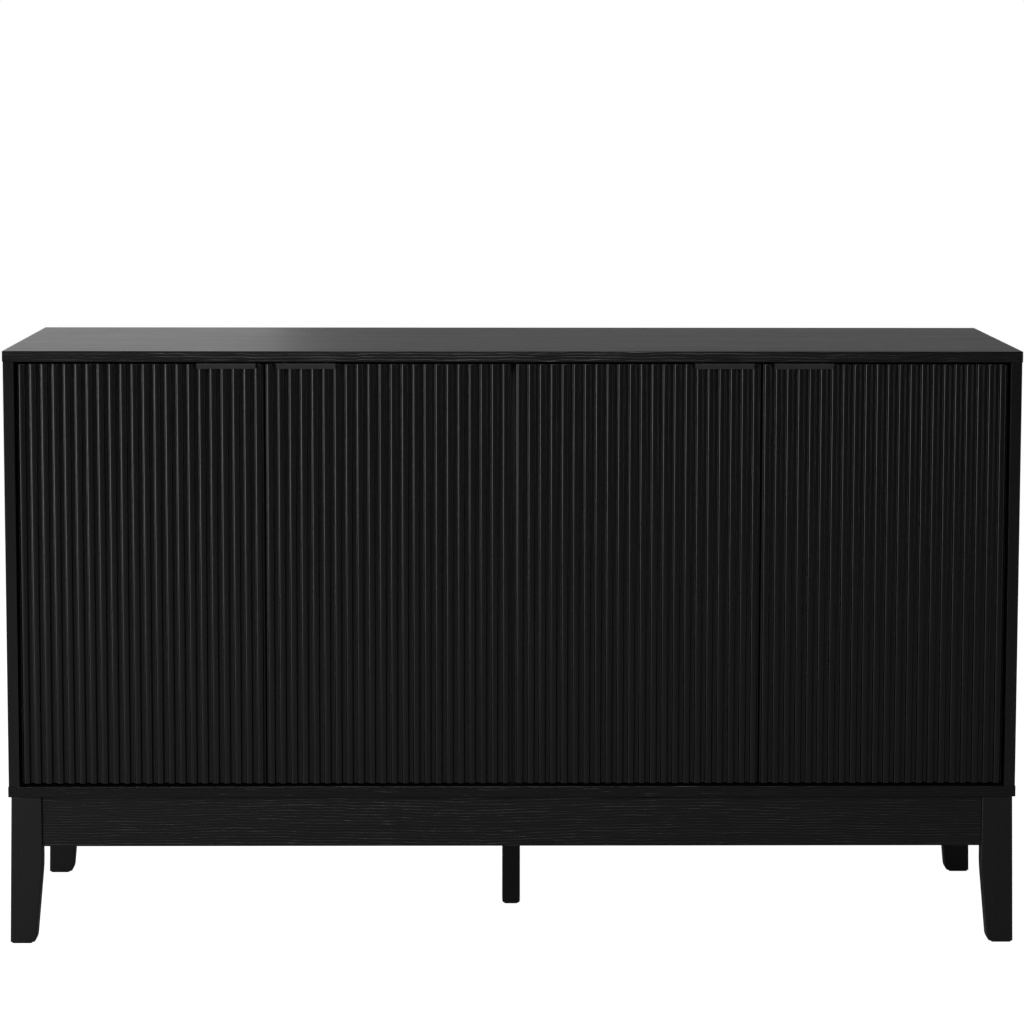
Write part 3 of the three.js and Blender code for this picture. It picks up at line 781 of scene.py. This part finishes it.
def hinge_arm(hand, wall):
    """The arm about its pin, with its body on a plate against the upright at -wall."""
    middle = 0.006 - wall
    neck = smooth_route([(0.0012, 0.0005), (0.012, 0.0052), (0.0146, 0.0098), (0.0138, 0.0156),
                         (0.0084, 0.0206), (middle + 0.007, 0.0224), (middle + 0.002, 0.0256),
                         (middle, 0.033)])
    face = 0.0001 - wall
    parts = [
        prism(strip(neck, 0.0022), -0.0065, 0.0065, 0.0003),
        lathe([(0, -0.0065), (0.003, -0.0065), (0.003, 0.0065), (0, 0.0065)], 28),
        lathe([(0, -0.012), (0.0015, -0.012), (0.00175, -0.0117), (0.00175, 0.0117),
               (0.0015, 0.012), (0, 0.012)], 20),
        block((face + 0.001, 0.025, -0.0065), (face + 0.009, 0.072, 0.0065), 0.0009),
        block((face, 0.027, -0.009), (face + 0.002, 0.076, 0.009), 0.0005),
        block((face, 0.041, -0.024), (face + 0.002, 0.057, 0.024), 0.0005),
    ]
    for y, z, head, lift in ((0.035, 0, SMALL_SCREW, 0.0089),
                             (0.062, 0, LARGE_SCREW, 0.0089),
                             (0.049, 0.0175, LARGE_SCREW, 0.0019),
                             (0.049, -0.0175, LARGE_SCREW, 0.0019)):
        parts.append(placed(head, (face + lift, y, z), (1, 0, 0), 0.4))
    verts, faces = joined(parts)
    return [(hand * x, y, z) for x, y, z in verts], faces


def add_hinges(door):
    hand = HANDS[door]
    for end in ("lower", "upper"):
        cup, arm = f"hinge_cup_{door}_{end}", f"hinge_arm_{door}_{end}"
        low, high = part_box(f"door_{door}")
        arm_low, arm_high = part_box(arm)
        pin = Vector((low.x + PIN_FROM_EDGE if hand > 0 else high.x - PIN_FROM_EDGE,
                      low.y + PIN_BEHIND_FRONT, (arm_low.z + arm_high.z) / 2))
        wall = abs(pin.x - (arm_low.x if hand > 0 else arm_high.x)) + 0.0001
        for node, part, body in ((cup, hinge_cup(hand), door_body(door)),
                                 (arm, hinge_arm(hand, wall), "carcass")):
            shown(node, placed(part, pin), NICKEL, body)


# ---------------------------------------------------------------- small parts
def add_shelf_pins():
    profile = [(0, -0.0064), (0.0022, -0.0064), (0.0024, -0.006), (0.0024, 0.0001),
               (0.0038, 0.0001), (0.004, 0.0004), (0.0038, 0.001), (0.0024, 0.0012),
               (0.0024, 0.0074), (0.0018, 0.008), (0, 0.008)]
    for bay, side in (("left", -1), ("right", 1)):
        for wall, outward in (("outer", -side), ("inner", side)):
            for end in ("front", "back"):
                node = f"shelf_pin_{bay}_{wall}_{end}"
                low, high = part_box(node)
                place = ((low.x if outward > 0 else high.x) + outward * 0.0064,
                         (low.y + high.y) / 2, (low.z + high.z) / 2)
                shown(node, placed(lathe(profile, 24), place, (outward, 0, 0)), NICKEL)


def add_glides():
    for node in [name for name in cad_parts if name.startswith("glide_")]:
        low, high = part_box(node)
        shown(node, prism(rounded_outline(low.x, low.y, high.x, high.y, 0.003), low.z, high.z, 0.0006),
              PLASTIC)


def add_corner_brackets():
    for row, inward in (("front", 1), ("back", -1)):
        for hand, side in (("left", -1), ("right", 1)):
            node = f"corner_bracket_{row}_{hand}"
            softened(node, ZINC, arris=0.0004, steps=2)
            low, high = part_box(node)
            corner = Vector((low.x if side < 0 else high.x, low.y if inward > 0 else high.y,
                             (low.z + high.z) / 2))
            outward = Vector((side, -inward, 0)).normalized()
            middle = corner + Vector((-side * 0.034, inward * 0.034, 0))
            bolt = lathe([(0, -0.012), (0.0026, -0.012), (0.003, -0.0115), (0.003, 0.048),
                          (0, 0.048)], 20)
            washer = lathe([(0, -0.0028), (0.0085, -0.0028), (0.009, -0.0024), (0.009, -0.0012),
                            (0, -0.0012)], 28)
            nut = lathe([(0, -0.0085), (0.0052, -0.0085), (0.0058, -0.008), (0.0058, -0.0028),
                         (0, -0.0028)], 6)
            parts = [placed(part, middle, outward) for part in (bolt, washer, nut)]
            for z in (-0.011, 0.011):
                for away in (0.073, 0.083):
                    along_x = corner + Vector((-side * away, inward * 0.002, z))
                    along_y = corner + Vector((-side * 0.002, inward * away, z))
                    parts.append(placed(SMALL_SCREW, along_x, (0, inward, 0)))
                    parts.append(placed(SMALL_SCREW, along_y, (-side, 0, 0)))
            add_piece(f"bracket_fixings_{row}_{hand}", mesh_of("fixings", *joined(parts)), ZINC,
                      "carcass")


def add_cam_caps():
    """Plastic caps over the cam connectors that hold the uprights to the top and the bottom."""
    cap = lathe([(0, 0), (0.0085, 0), (0.0085, 0.0005), (0.0078, 0.0009), (0.0045, 0.0011),
                 (0.0042, 0.0008), (0, 0.0008)], 36)
    floor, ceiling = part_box("bottom_panel")[1].z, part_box("top_panel")[0].z
    for node, toward in (("left_side_panel", 1), ("right_side_panel", -1),
                         ("centre_divider", 1), ("centre_divider", -1)):
        low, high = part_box(node)
        x = high.x if toward > 0 else low.x
        caps = [placed(cap, (x - toward * 0.0001, y, z), (toward, 0, 0))
                for y in (-0.085, 0.12) for z in (floor + 0.034, ceiling - 0.034)]
        side = "right" if toward > 0 else "left"
        add_piece(f"cam_caps_{node}_{side}", mesh_of("cam_caps", *joined(caps)), PLASTIC, "carcass")


def add_catches():
    """A double magnetic catch under the top for each pair of doors, and its strike plates."""
    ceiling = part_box("top_panel")[0].z
    door_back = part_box("door_left_outer")[1].y
    for bay, outer, inner in (("left", "left_outer", "left_inner"),
                              ("right", "right_outer", "right_inner")):
        ends = sorted((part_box(f"door_{outer}"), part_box(f"door_{inner}")), key=lambda box: box[0].x)
        seam = (ends[0][1].x + ends[1][0].x) / 2
        front = door_back + 0.0016
        body = block((seam - 0.031, front, ceiling - 0.0155),
                     (seam + 0.031, front + 0.021, ceiling - 0.0001), 0.0012)
        add_piece(f"door_catch_{bay}", mesh_of("catch", *body), PLASTIC, "carcass")
        magnets = [block((seam + side * 0.016 - 0.006, front - 0.0006, ceiling - 0.0135),
                         (seam + side * 0.016 + 0.006, front + 0.002, ceiling - 0.0045), 0.0003)
                   for side in (-1, 1)]
        add_piece(f"catch_magnets_{bay}", mesh_of("magnets", *joined(magnets)), NICKEL, "carcass")
        for door in (outer, inner):
            low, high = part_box(f"door_{door}")
            side = 1 if (low.x + high.x) / 2 > seam else -1
            disc = lathe([(0, 0), (0.0052, 0), (0.0052, 0.0007), (0.0048, 0.001), (0, 0.001)])
            place = (seam + side * 0.016, door_back - 0.0002, ceiling - 0.009)
            plate = placed(disc, place, (0, 1, 0))
            add_piece(f"strike_plate_{door}", mesh_of("strike", *plate), ZINC, door_body(door))


def add_back_nails():
    """Two columns of nails that hold the back panels to the divider."""
    low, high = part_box("back_panel_left")
    nail = lathe([(0, 0), (0.0024, 0), (0.0024, 0.0004), (0.0016, 0.0008), (0, 0.0009)], 20)
    nails = [placed(nail, (side * 0.0045, high.y - 0.0001, low.z + 0.03 + step * 0.09), (0, 1, 0))
             for side in (-1, 1) for step in range(7)]
    add_piece("back_nails", mesh_of("nails", *joined(nails)), ZINC, "carcass")


add_camera()
add_world()
for lamp in LAMPS:
    add_light(*lamp)
add_floor()
add_boards()
for name in DOORS:
    add_door(name)
    add_pull(name)
    add_hinges(name)
add_legs()
add_shelf_pins()
add_glides()
add_corner_brackets()
add_cam_caps()
add_catches()
add_back_nails()
